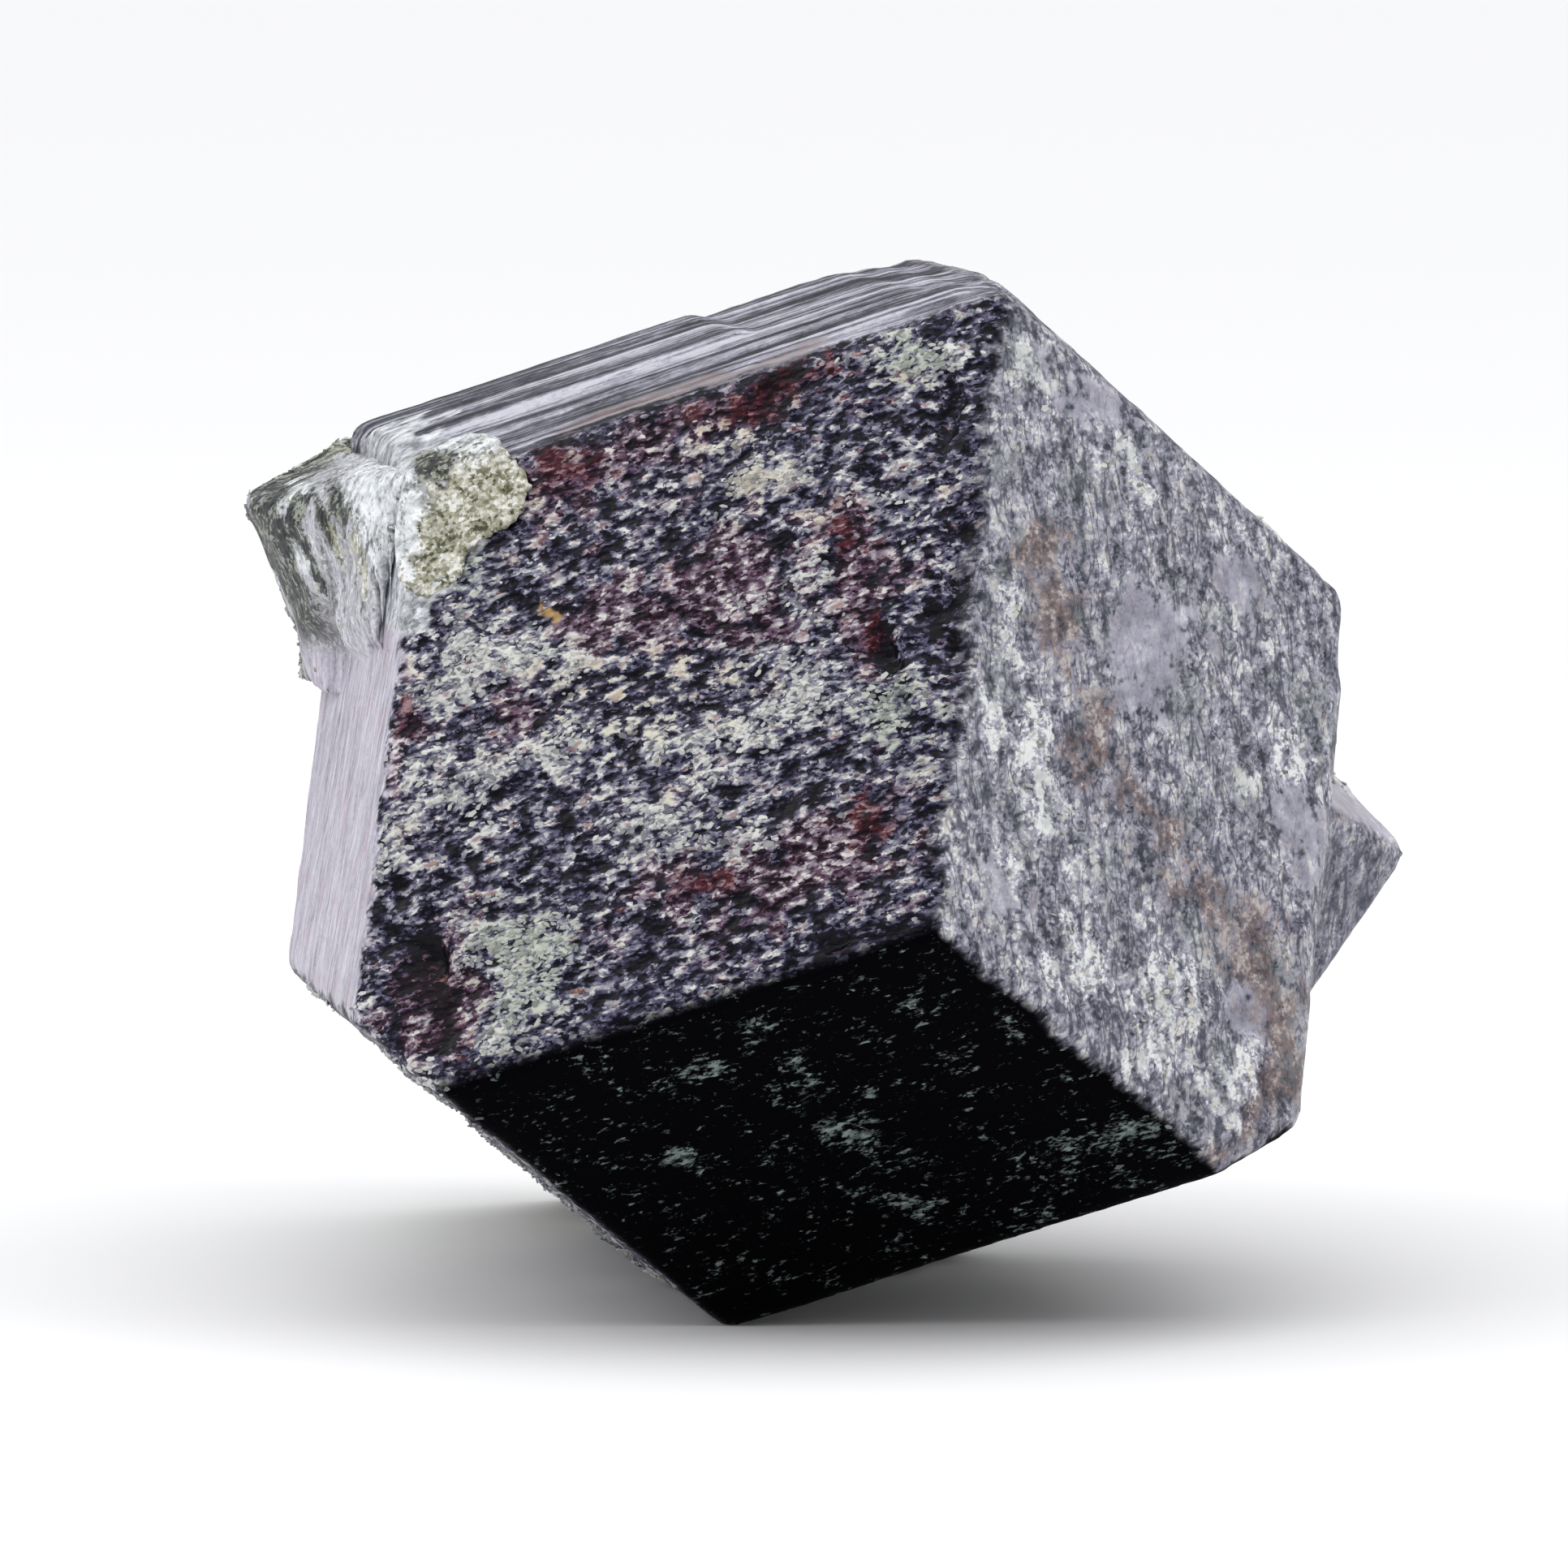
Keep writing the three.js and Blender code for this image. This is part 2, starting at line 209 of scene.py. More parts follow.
# Marks on the front face, in mm from the crystal's centre as seen from the front
RED_WINDOWS = [
    (-13.1, 16.2, 1.6, 1.5, 0),
    (-1.4, 21.2, 2.6, 1.5, 18),
    (-3.4, 19.6, 1.6, 1.5, 0),
    (-5.4, 19.2, 0.9, 1.2, 0),
    (1.5, 12.7, 0.9, 1.5, 0),
    (3.5, 7.7, 1.0, 0.7, 20),
    (-21.0, 3.1, 0.5, 1.3, 0),
    (2.1, -1.9, 1.3, 0.8, 20),
    (-5.2, -4.6, 1.3, 0.9, 20),
    (-17.0, -15.6, 2.4, 0.8, -38),
]
PLUM_ZONES = [
    (-7.5, 18.4, 7.0, 2.2, 18),
    (-13.1, 15.6, 2.8, 2.4, 0),
    (-4.4, 10.0, 5.4, 3.4, 0),
    (-10.0, 9.0, 3.4, 2.4, 0),
    (-15.6, 4.0, 2.4, 1.4, 0),
    (-2.3, -4.6, 8.0, 3.2, 18),
    (2.6, 10.4, 1.6, 4.4, 0),
    (-20.2, -11.5, 2.8, 4.6, -35),
    (-21.0, 2.7, 0.9, 2.6, 0),
]
PALE_CLUSTERS = [
    (-11.9, 6.3, 3.6, 0.8, 0),
    (-17.2, 7.0, 2.6, 1.8, 0),
    (-19.4, 8.2, 1.6, 1.8, 0),
    (-8.7, 2.9, 1.8, 0.8, 5),
    (-5.0, 2.1, 7.6, 1.3, 6),
    (4.4, 2.9, 2.0, 2.8, 0),
    (-1.0, 5.2, 1.4, 1.1, 20),
    (-2.7, 15.4, 2.4, 2.2, 0),
    (2.7, 16.2, 1.9, 2.4, 0),
    (4.8, 22.6, 3.2, 1.2, 12),
    (-15.6, -9.8, 3.0, 4.2, 0),
    (-1.9, -2.1, 4.2, 0.8, 20),
    (-8.1, -2.6, 1.7, 1.5, 0),
    (-5.8, -7.1, 1.6, 0.8, 20),
    (5.2, -2.5, 1.1, 0.7, 0),
    (-20.0, -5.8, 2.0, 0.6, 15),
    (-18.6, 0.6, 2.2, 1.4, 0),
    (-14.0, 0.4, 2.4, 1.0, 0),
    (-0.4, 10.6, 1.2, 1.6, 40),
    (-17.0, 11.0, 1.9, 1.1, 40),
]
GREEN_CLUSTERS = [
    (-17.0, 11.0, 2.2, 1.4, 40),
    (-14.2, -9.0, 3.8, 4.8, 0),
    (4.4, 3.4, 2.2, 3.0, 0),
    (4.6, 22.2, 3.0, 1.6, 10),
]
CREAM_CLUSTERS = [(-3.6, 16.4, 3.0, 2.6, 0), (-9.0, 4.4, 6.0, 2.2, 4), (5.2, -2.5, 1.4, 1.0, 0)]
# Dents in the front face, darkened with painted shade
SHADED_HOLLOWS = [
    (7.4, 9.6, 0.8, 4.2, -3),
    (4.0, 6.4, 0.9, 1.6, 20),
    (6.2, 19.4, 1.0, 2.0, 0),
    (3.4, -8.2, 4.0, 0.5, 22),
    (-20.6, -9.4, 1.2, 2.6, 30),
]
# Painted shade on parts of the front face and along its lower edge, and the mica and the orange grain at
# its left
PAINTED_SHADE_ZONES = [(6.4, -3.2, 1.2, 2.8, 0), (-20.8, -9.8, 2.2, 3.6, -30), (-1.9, 20.6, 2.6, 1.6, 18)]
SHADED_LOWER_EDGE = [(-16.0, -15.0), (4.6, -8.6)]
MICA_SHEET = [(-18.6, 6.0, 2.4, 2.6, 0)]
PALE_EDGE = [(-19.8, 10.2), (-20.8, 7.5), (-21.3, 5.0), (-22.4, -4.0)]
ORANGE_SPOT = [(-13.4, 9.8, 0.5, 0.55, 0)]
# Marks on the right face
WHITE_PATCHES = [
    (10.2, -3.2, 0.6, 1.3, 15),
    (12.9, -1.6, 1.1, 2.0, 8),
    (11.3, 1.9, 1.0, 2.6, 6),
    (8.6, 2.6, 0.8, 1.6, 0),
    (13.1, -9.0, 0.8, 2.4, 6),
    (18.3, -10.8, 1.6, 1.8, -20),
    (16.9, -12.6, 0.8, 2.2, -4),
    (21.5, -15.6, 0.8, 1.6, 10),
    (24.6, 1.0, 0.9, 1.8, 0),
    (22.0, -0.6, 0.6, 1.0, 0),
    (15.4, 16.0, 0.6, 1.4, 30),
    (11.0, 21.4, 1.0, 1.7, 30),
    (9.4, 8.0, 0.5, 3.2, -4),
]
SMOOTH_PATCHES = [
    (17.4, 7.4, 2.2, 3.4, 10),
    (9.4, -5.2, 1.8, 2.2, 30),
    (25.2, -2.6, 1.4, 4.2, 15),
    (14.6, 19.4, 3.4, 1.2, -40),
    (22.2, -11.4, 2.0, 1.6, -40),
    (17.0, 4.2, 3.0, 0.7, 0),
    (21.6, 9.6, 1.2, 2.4, 30),
]
RUST_PATCHES = [
    (11.3, 11.4, 1.5, 2.4, -10),
    (12.6, 8.4, 0.9, 1.8, -10),
    (14.0, 3.0, 1.1, 1.6, -20),
    (14.6, 1.0, 0.8, 1.0, 0),
    (16.6, -1.8, 1.1, 1.3, 0),
    (19.6, -6.2, 1.8, 0.9, -30),
    (22.4, -8.4, 1.6, 1.4, -30),
    (24.0, -11.6, 1.3, 1.6, 0),
    (24.4, -13.8, 0.9, 3.0, 5),
    (22.8, -16.4, 1.4, 2.0, -30),
    (20.6, -18.8, 2.2, 0.9, 20),
]
RUST_TRACK = [
    (10.6, 14.2),
    (12.4, 8.6),
    (14.0, 3.2),
    (16.6, -1.8),
    (20.4, -6.8),
    (23.6, -10.6),
    (24.4, -15.0),
]
# White mica along the top face's left edge, and the brown stain along its front edge, in mm
MICA_REACH = 1.8
BROWN_START = -14.0
BROWN_END = 1.0
BROWN_FADE = 2.0
BROWN_REACH = 1.5
# Flaky specks on the dark lower front face
DARK_FACE_SPECKS = [
    (-5.6, -15.2, 1.4, 0.6, 0),
    (-0.2, -15.6, 0.9, 1.1, 0),
    (1.4, -17.7, 0.8, 1.2, 0),
    (9.8, -13.1, 1.0, 0.8, 0),
    (15.0, -18.7, 2.8, 1.3, 18),
    (10.2, -22.5, 1.4, 0.4, 14),
    (-6.5, -20.2, 1.6, 0.5, 0),
    (4.8, -21.5, 2.4, 0.7, 10),
    (3.4, -15.0, 1.2, 0.3, 20),
    (-2.4, -12.6, 1.6, 0.3, 18),
]
# Painted shade: the small crystal's facets are darker where they face away from this direction
SMALL_LIT_WAY = (0.45, 0.4, 1.0)
SMALL_RISE = (1.3, 1.8)  # mm above the large crystal's faces between which the small one takes over
MARK_STRAY = 1.25  # mm that the marks' outlines wander
EDGE_SHARPNESS = 3.0  # per mm: how quickly one face's coat gives way to the next's at an edge
BORDER = 2.0  # borders are stored as distances up to this far on either side, in mm

garnet_mesh = fine_mesh("garnet_crystals", GARNET_CELL, SMOOTHING_ROUNDS)
points, outward = points_of(garnet_mesh)
view = strayed(front_view(points), points, MARK_STRAY, 40)
column = {name: place for place, name in enumerate(FACES)}
across_faces = np.array([normals[name] for name in FACES]).T
above = points @ across_faces - np.array(list(distances.values()))
on_small = ramp(above.max(axis=1), *SMALL_RISE)
above[:, column["right"]] += 0.35 * noise(points, 3.0, 15) + 0.3 * noise(points, 1.2, 16)
above[:, column["right_side"]] += 2 * BORDER * on_small
closeness = np.exp(EDGE_SHARPNESS * (above - above.max(axis=1, keepdims=True)))
closeness /= closeness.sum(axis=1, keepdims=True)
facing = dict(zip(FACES, closeness.T))
coated = {}
inside = {}
for kind in ("speckled", "fibrous", "silky", "ruled", "bare"):
    of_kind = np.array([coats[name] == kind for name in FACES])
    coated[kind] = closeness[:, of_kind].sum(axis=1)
    inside[kind] = 0.5 + (above[:, of_kind].max(axis=1) - above[:, ~of_kind].max(axis=1)) / (2 * BORDER)
front = facing["front"]
right = facing["right"]
under = facing["under"]
hidden = 1 - np.clip(front + right + under + facing["top"] + facing["left"], 0, 1)

UPRIGHT = (0.05, 0.0, 0.999)  # along the fibres and the silky streaks
ASLANT = (0.45, 0.0, 0.893)  # along the finer curls among the fibres
LEDGE_WAY = growth["left"]  # growth lines on the top face run along this edge direction
combed = drawn_out(points, UPRIGHT, 5)
fibres = noise(combed, 1.1, 1) + 0.6 * noise(combed, 0.6, 2)
ledges = noise(drawn_out(points, LEDGE_WAY, 30), 1.3, 3)
ledges += 0.7 * noise(drawn_out(points, LEDGE_WAY, 22), 0.7, 4)
strokes = drawn_out(points, LEDGE_WAY, 1.7)
clumps = 0.7 * noise(strokes, 2.4, 5) + 0.7 * noise(strokes, 1.3, 6) + 0.5 * noise(strokes, 0.8, 17)
crumbs = noise(points, 0.9, 7)
swell = noise(points, 9.0, 8)

clustered = ovals(view, PALE_CLUSTERS) + 0.85 * along_line(view, PALE_EDGE, 1.2)
pale = clustered * front * (0.72 + 0.5 * clumps)
pale += 0.7 * ovals(view, MICA_SHEET) * front
pale += 0.8 * hidden * ramp(noise(points, (4, 4, 2.4), 13), 0.15, 0.7)
pale = ramp(0.95 * pale + 0.58 * clumps, 0.05, 1.25)
white = ovals(view, WHITE_PATCHES) * right
white += 0.8 * hidden * ramp(noise(points, (1.6, 1.6, 4.5), 10), 0.45, 0.8)
hollow = ovals(view, SHADED_HOLLOWS) * front
dusk = np.maximum(ovals(view, PAINTED_SHADE_ZONES), along_line(view, SHADED_LOWER_EDGE, 0.9)) * front
rust = ovals(view, RUST_PATCHES) + 0.45 * along_line(view, RUST_TRACK, 1.0)
rust *= np.clip(right + facing["right_side"] * ramp(-points[:, 1], 3, 8), 0, 1)
stained = ramp(view[:, 0], BROWN_START, BROWN_START + BROWN_FADE)
stained *= ramp(-view[:, 0], -BROWN_END, BROWN_FADE - BROWN_END)
near_edge = above[:, column["front"]] + 0.9 * noise(points, 1.8, 20)
rust += 0.8 * stained * facing["top"] * ramp(near_edge, -BROWN_REACH - 0.6, 0.6 - BROWN_REACH)
red = ovals(view, RED_WINDOWS) * front + 0.8 * hidden * ramp(noise(points, 3.4, 14), 0.45, 0.8)
specks = ovals(view, DARK_FACE_SPECKS) * under

mica_rim = above[:, column["left"]] + 1.4 * noise(points, 1.7, 18) + 0.8 * noise(points, 0.9, 19)
mica = ramp(mica_rim, -MICA_REACH - 1.6, -MICA_REACH + 0.8)
mica *= ramp(points[:, 2], 8, 10)
mica *= ramp(-points[:, 1], -12, -3)
# Painted shade on the small crystal's facets, by which way they face
small = on_small * ramp(-outward @ np.array(SMALL_LIT_WAY), -0.4, 0.5)
small += 0.5 * on_small * ramp(outward[:, 1], -0.1, 0.5)
# Painted light on the small crystal's upward facets
small_top = on_small * ramp(outward[:, 2], 0.3, 0.6)

relief = 0.08 * swell + 0.03 * crumbs
relief += coated["speckled"] * (0.10 * crumbs + 0.30 * pale - 0.7 * hollow)
relief += coated["fibrous"] * (0.04 * fibres + 0.12 * white * (1 + crumbs))
relief += coated["silky"] * 0.03 * fibres
relief += coated["ruled"] * 0.12 * ledges
# The lowest millimetre keeps its place, because the crystal stands on it
resting = ramp(points[:, 2] + centre.z, 0.1, 1.2)
put_points(garnet_mesh, points + outward * (relief * resting)[:, None])

flaky = coated["speckled"] * np.clip(1.1 * pale - 0.12 - 0.9 * hollow - 0.4 * dusk - 0.35 * red, 0.0, 1)
flaky += coated["fibrous"] * np.clip(0.22 * white - 0.04, 0, 1)
flaky += under * np.clip(0.10 * specks * (0.6 + crumbs), 0, 1)
keep(
    garnet_mesh,
    **inside,
    pale=pale * (1 - 0.8 * hollow),
    plum=ovals(view, PLUM_ZONES) * front + 0.7 * hidden * ramp(swell, -0.1, 0.5),
    red=red,
    green=ovals(view, GREEN_CLUSTERS) * front + under + hidden * ramp(noise(points, 7, 11), 0.1, 0.6),
    cream=ovals(view, CREAM_CLUSTERS) * front + white + hidden * ramp(noise(points, 6, 12), 0.3, 0.8),
    white=white,
    smooth=ovals(view, SMOOTH_PATCHES) * right,
    rust=rust + 0.8 * hidden * (1 - coated["ruled"]) * ramp(noise(points, (3, 3, 7), 9), 0.4, 0.8),
    orange=ovals(view, ORANGE_SPOT) * front,
    hollow=hollow,
    dusk=dusk,
    mica=mica,
    small=small,
    small_top=small_top,
    seam=4 * on_small * (1 - on_small),
    specks=specks,
    flaky=flaky * resting,
)


class Paint:
    """A socket in a material, wrapped so that patterns over a surface are written as sums."""

    def __init__(self, tree, socket=None):
        self.tree = tree
        self.socket = socket

    def node(self, kind, settings=None, sockets=None, out=0):
        """Adds a node, with its settings and its sockets' values or links, and gives one of its outputs."""
        made = self.tree.nodes.new(kind)
        for name, value in (settings or {}).items():
            if name == "stops":
                self.stops(made.color_ramp, value)
            else:
                setattr(made, name, value)
        for name, value in (sockets or {}).items():
            socket = next(s for s in made.inputs if s.enabled and s.name == name)
            self.join(value, socket)
        outputs = [s for s in made.outputs if s.enabled]
        return Paint(self.tree, outputs[out] if outputs else None)

    def join(self, value, socket):
        """Links a wrapped socket to another, or sets a plain value there."""
        if isinstance(value, Paint):
            self.tree.links.new(value.socket, socket)
        else:
            socket.default_value = value

    @staticmethod
    def stops(colour_ramp, stops):
        """Sets a colour ramp's stops, each a place from 0 to 1 and a colour."""
        while len(colour_ramp.elements) < len(stops):
            colour_ramp.elements.new(1.0)
        for element, (place, colour) in zip(colour_ramp.elements, stops):
            element.position = place
            element.color = colour

    def sum(self, operation, first, second):
        """A Math node on two values."""
        made = self.tree.nodes.new("ShaderNodeMath")
        made.operation = operation
        self.join(first, made.inputs[0])
        self.join(second, made.inputs[1])
        return Paint(self.tree, made.outputs[0])

    def __add__(self, other):
        return self.sum("ADD", self, other)

    def __radd__(self, other):
        return self.sum("ADD", other, self)

    def __sub__(self, other):
        return self.sum("SUBTRACT", self, other)

    def __rsub__(self, other):
        return self.sum("SUBTRACT", other, self)

    def __mul__(self, other):
        return self.sum("MULTIPLY", self, other)

    def __rmul__(self, other):
        return self.sum("MULTIPLY", other, self)

    def between(self, low, high):
        """0 below low, 1 above high, smooth between."""
        return self.node(
            "ShaderNodeMapRange",
            {"interpolation_type": "SMOOTHSTEP"},
            {"Value": self, "From Min": low, "From Max": high},
        )

    def line(self, value, width):
        """1 along the thin lines where a value passes its middle, 0 beside them."""
        off = self.sum("ABSOLUTE", value - 0.5, 0.0)
        return 1 - off.between(0.0, width)

    def mix(self, first, second, share):
        """A colour that goes from the first to the second as the share goes from 0 to 1."""
        return self.node("ShaderNodeMix", {"data_type": "RGBA"}, {"Factor": share, "A": first, "B": second})

    def tones(self, value, *colours):
        """A colour for a value from 0 to 1, out of evenly spaced screen colours from dark to light."""
        stops = [(i / (len(colours) - 1), shade(*colour)) for i, colour in enumerate(colours)]
        return self.node("ShaderNodeValToRGB", {"stops": stops}, {"Fac": value})

    def layer(self, name):
        """A value stored on the mesh."""
        return self.node("ShaderNodeAttribute", {"attribute_name": name}, out=2)

    def places(self):
        """Places on the piece in mm."""
        spot = self.node("ShaderNodeTexCoord", out=3)
        return self.scaled(spot, 1 / MM)

    def scaled(self, vector, times):
        """A vector made so many times as long."""
        return self.node("ShaderNodeVectorMath", {"operation": "SCALE"}, {"Vector": vector, "Scale": times})

    def shifted(self, places, shift):
        """Places moved by a vector."""
        moved = self.node("ShaderNodeVectorMath", {"operation": "ADD"}, {"Vector": places})
        self.tree.links.new(shift.socket, moved.socket.node.inputs[1])
        return moved

    def drawn_out(self, places, direction, times):
        """Places squeezed along a direction, so that a pattern on them is drawn out along it."""
        along = self.node("ShaderNodeVectorMath", {"operation": "DOT_PRODUCT"}, {"Vector": places})
        along.socket.node.inputs[1].default_value = direction
        return self.shifted(places, self.scaled(direction, along * (1 / times - 1)))

    def cells(self, places, per_mm, ragged):
        """A value of its own from 0 to 1 for each grain of a surface, the grains' outlines being ragged."""
        wander = self.node(
            "ShaderNodeTexNoise", sockets={"Vector": places, "Scale": per_mm * 1.6, "Detail": 0.0}, out=1
        )
        moved = self.shifted(places, self.scaled(wander, ragged / per_mm))
        chips = self.node("ShaderNodeTexVoronoi", sockets={"Vector": moved, "Scale": per_mm}, out=1)
        return self.node("ShaderNodeSeparateColor", sockets={"Color": chips})

    def within(self, name, stray, soft=0.25):
        """Where a coat covers the surface: its stored border, moved by a stray and softened, both in mm."""
        return ((self.layer(name) - 0.5) * (2 * BORDER) + stray).between(-soft, soft)

    def grain(self, places, per_mm, detail=3.0, rough=0.6, twist=0.0):
        """Cloudy noise from 0 to 1, with so many lumps to the mm."""
        return self.node(
            "ShaderNodeTexNoise",
            sockets={
                "Vector": places,
                "Scale": per_mm,
                "Detail": detail,
                "Roughness": rough,
                "Distortion": twist,
            },
        )


def new_finish(name):
    """A material with an empty shader: its paint, and the shader's own sockets."""
    material = bpy.data.materials.new(name)
    material.use_nodes = True
    tree = material.node_tree
    shader = next(n for n in tree.nodes if n.type == "BSDF_PRINCIPLED")
    return material, Paint(tree), shader.inputs


def shade(red_part, green_part, blue_part):
    """A colour given as it looks on a screen, 0 to 255."""
    parts = [part / 255 for part in (red_part, green_part, blue_part)]
    return tuple(p / 12.92 if p <= 0.04045 else ((p + 0.055) / 1.055) ** 2.4 for p in parts) + (1.0,)


def silky_tones(paint, silk, grit, patch):
    """Mica lying flat, combed into fine upright streaks."""
    tone = 0.5 + silk * 2.6 + grit * 0.3
    silky = paint.tones(tone, (136, 132, 146), (172, 168, 182), (194, 190, 203), (214, 211, 220))
    return paint.mix(silky, shade(184, 156, 166), patch.between(0.04, 0.20) * 0.4)


def garnet_finish():
    """Each coat's colour in turn, then the coats set side by side along ragged borders."""
    material, paint, shader = new_finish("coated_garnet")
    places = paint.places()
    upright = paint.drawn_out(places, UPRIGHT, 3.0)
    silk_way = paint.drawn_out(places, UPRIGHT, 9.0)
    ledge_way = paint.drawn_out(places, LEDGE_WAY, 30.0)
    stroke_way = paint.drawn_out(places, LEDGE_WAY, 1.8)
    speck = paint.grain(stroke_way, 2.0, 1.5, 0.5) - 0.5
    patch = paint.grain(places, 0.6, 2, 0.5) - 0.5
    fibre = paint.grain(upright, 1.3, 2, 0.5) - 0.5
    swirl = paint.grain(upright, 1.2, 1, 0.5, 0.9)
    curl = paint.grain(paint.drawn_out(places, ASLANT, 2.2), 1.7, 1, 0.5, 0.9)
    grit = paint.cells(stroke_way, 6.5, 0.7) - 0.5
    chip = paint.cells(stroke_way, 3.0, 0.9) - 0.5
    silk = paint.grain(silk_way, 2.2, 3, 0.65) - 0.5
    ledge = paint.grain(ledge_way, 0.85, 3, 0.72) - 0.5

    # Speckled: dark garnet with plum and red zones under grains of pale mica and green chlorite
    pale = paint.layer("pale")
    tone = 0.36 + pale * 0.46 + chip * 0.52 + grit * 0.64 + speck * 2.1 + patch * 0.9
    # Painted shade in the dents, in the shaded zones and along the lower edge of the front face
    tone = tone - paint.layer("hollow") * 0.5 - paint.layer("dusk") * 0.24
    speckled = paint.tones(tone, (4, 4, 12), (30, 28, 48), (90, 87, 112), (150, 151, 158), (214, 215, 208))
    plum = (paint.layer("plum") + speck * 1.2 + patch * 2.5).between(0.25, 0.75)
    plum_tones = paint.tones(
        tone, (12, 3, 10), (44, 20, 34), (100, 74, 94), (150, 142, 150), (212, 208, 204)
    )
    speckled = paint.mix(speckled, plum_tones, plum * 0.9)
    red = (paint.layer("red") + speck * 2.6).between(0.30, 0.70)
    red_tones = paint.tones(tone, (16, 0, 5), (48, 2, 12), (78, 12, 26), (142, 110, 120))
    speckled = paint.mix(speckled, red_tones, red * 0.9)
    light = tone.between(0.45, 0.95)
    green = (paint.layer("green") + patch * 2.0).between(0.25, 0.75)
    speckled = paint.mix(speckled, shade(166, 176, 156), light * green * 0.45)
    cream = (paint.layer("cream") + patch * 2.5).between(0.30, 0.75)
    speckled = paint.mix(speckled, shade(208, 200, 172), light * cream * 0.45)
    orange = (paint.layer("orange") + speck * 1.6).between(0.3, 0.8)
    speckled = paint.mix(speckled, shade(184, 150, 92), orange * 0.7)

    # Fibrous: grey mica with fine dark wavy lines, ragged white patches and rust
    smooth = (paint.layer("smooth") + fibre * 1.2 + speck * 0.8).between(0.35, 0.65)
    white = (paint.layer("white") + fibre * 1.6 + grit * 0.3).between(0.25, 0.80) * 0.9
    mottle = fibre * 1.4 + speck * 1.3 + grit * 0.45 + chip * 0.26
    grey = 0.55 + mottle * (1 - smooth * 0.7) + patch
    grey = grey + smooth * 0.08 + white * 0.36
    fibrous = paint.tones(
        grey, (50, 52, 60), (98, 99, 110), (140, 139, 152), (170, 168, 181), (222, 224, 222)
    )
    mossy = (paint.grain(places, 0.32, 2, 0.5) + speck * 0.6).between(0.50, 0.66) * (1 - smooth)
    fibrous = paint.mix(fibrous, shade(134, 141, 136), mossy * 0.35)
    lines = paint.line(swirl, 0.060) * 0.8 + paint.line(curl, 0.075) * 0.5
    lines = (lines * (1 - smooth * 0.6) * (1 - white * 0.7)).between(0.0, 1.0)
    lines = lines * (1 - paint.layer("small_top"))
    fibrous = paint.mix(fibrous, shade(62, 64, 76), lines * 0.8)
    rust = (paint.layer("rust") + fibre * 2.0 + speck * 1.8 + grit * 0.6).between(0.25, 0.95) * (1 - white)
    rust_tones = paint.tones(grey, (38, 31, 34), (78, 65, 66), (114, 99, 98), (164, 154, 152))
    fibrous = paint.mix(fibrous, rust_tones, rust * 0.8)
    fibrous = paint.mix(fibrous, shade(150, 116, 90), paint.line(curl, 0.05) * rust * 0.2)
    # Painted shade on the small crystal's facets that face down or back
    fibrous = paint.mix(fibrous, shade(70, 73, 88), paint.layer("small") * 0.6)
    # Painted light on the small crystal's upward facets
    fibrous = paint.mix(fibrous, shade(206, 203, 214), paint.layer("small_top") * 0.55)
    # Painted shade in the crease where the small crystal meets the large one
    seam = (paint.layer("seam") + speck * 1.5).between(0.2, 0.9)
    fibrous = paint.mix(fibrous, shade(48, 48, 58), seam * 0.7)

    # Silky, and ruled: grey mica along fine ledges, stained brown in places
    silky = silky_tones(paint, silk, grit, patch)
    ruled = paint.tones(
        0.42 + ledge * 4.4 + grit * 0.25 + patch * 0.8,
        (38, 39, 47),
        (76, 76, 87),
        (122, 121, 133),
        (158, 157, 170),
        (198, 197, 208),
    )
    brown = (paint.layer("rust") + patch + ledge * 2.0 + grit * 0.3).between(0.30, 0.8)
    ruled = paint.mix(ruled, shade(112, 92, 84), brown * 0.6)

    # Shaded bare: black garnet with a few dull green flecks; the near-black on the downward faces is partly
    # painted shade
    dash = paint.grain(paint.drawn_out(places, LEDGE_WAY, 2.2), 3.6, 3, 0.65, 0.5) - 0.5
    fleck = paint.layer("specks") * 0.55 + dash * 2.6 + patch * 1.3 + grit * 0.5 + chip * 0.3
    fleck = fleck.between(0.36, 1.0) * (0.75 + chip * 0.7)
    shaded_bare_stone = paint.mix(shade(1, 1, 3), shade(124, 138, 134), fleck)

    # The borders between the coats, dark where speckled turns to fibrous, and white mica on the top face
    stray = patch * 1.6 + speck * 1.2 + grit * 0.25
    fibred = paint.within("fibrous", stray * 1.3, 0.55)
    silken = paint.within("silky", stray)
    ledged = paint.within("ruled", stray * 0.6)
    bare = paint.within("bare", stray * 0.25 + (1 - fibred) * 0.35, 0.5)
    colour = paint.mix(speckled, fibrous, fibred)
    colour = paint.mix(colour, shade(36, 36, 52), fibred * (1 - fibred) * 1.6)
    colour = paint.mix(colour, silky, silken)
    colour = paint.mix(colour, ruled, ledged)
    mica = (paint.layer("mica") + ledge * 1.2 + speck * 0.8).between(0.30, 0.60)
    mica_tones = paint.tones(grey, (112, 115, 118), (186, 189, 193), (236, 239, 242))
    colour = paint.mix(colour, mica_tones, mica * 0.9)

    height = (speck * 0.8 + chip * 0.45) * (0.2 + paint.within("speckled", 0.0) * 0.8)
    height = height + paint.within("fibrous", 0.0) * fibre * 0.6
    height = height + paint.within("silky", 0.0) * silk * 0.4
    height = height + paint.within("ruled", 0.0) * ledge * 1.2
    bump = paint.node("ShaderNodeBump", sockets={"Strength": 0.8, "Distance": 0.30 * MM, "Height": height})
    paint.join(colour, shader["Base Color"])
    paint.join(0.42 + speck * 0.5, shader["Roughness"])
    paint.join(bump, shader["Normal"])
    shader["Specular IOR Level"].default_value = 0.14

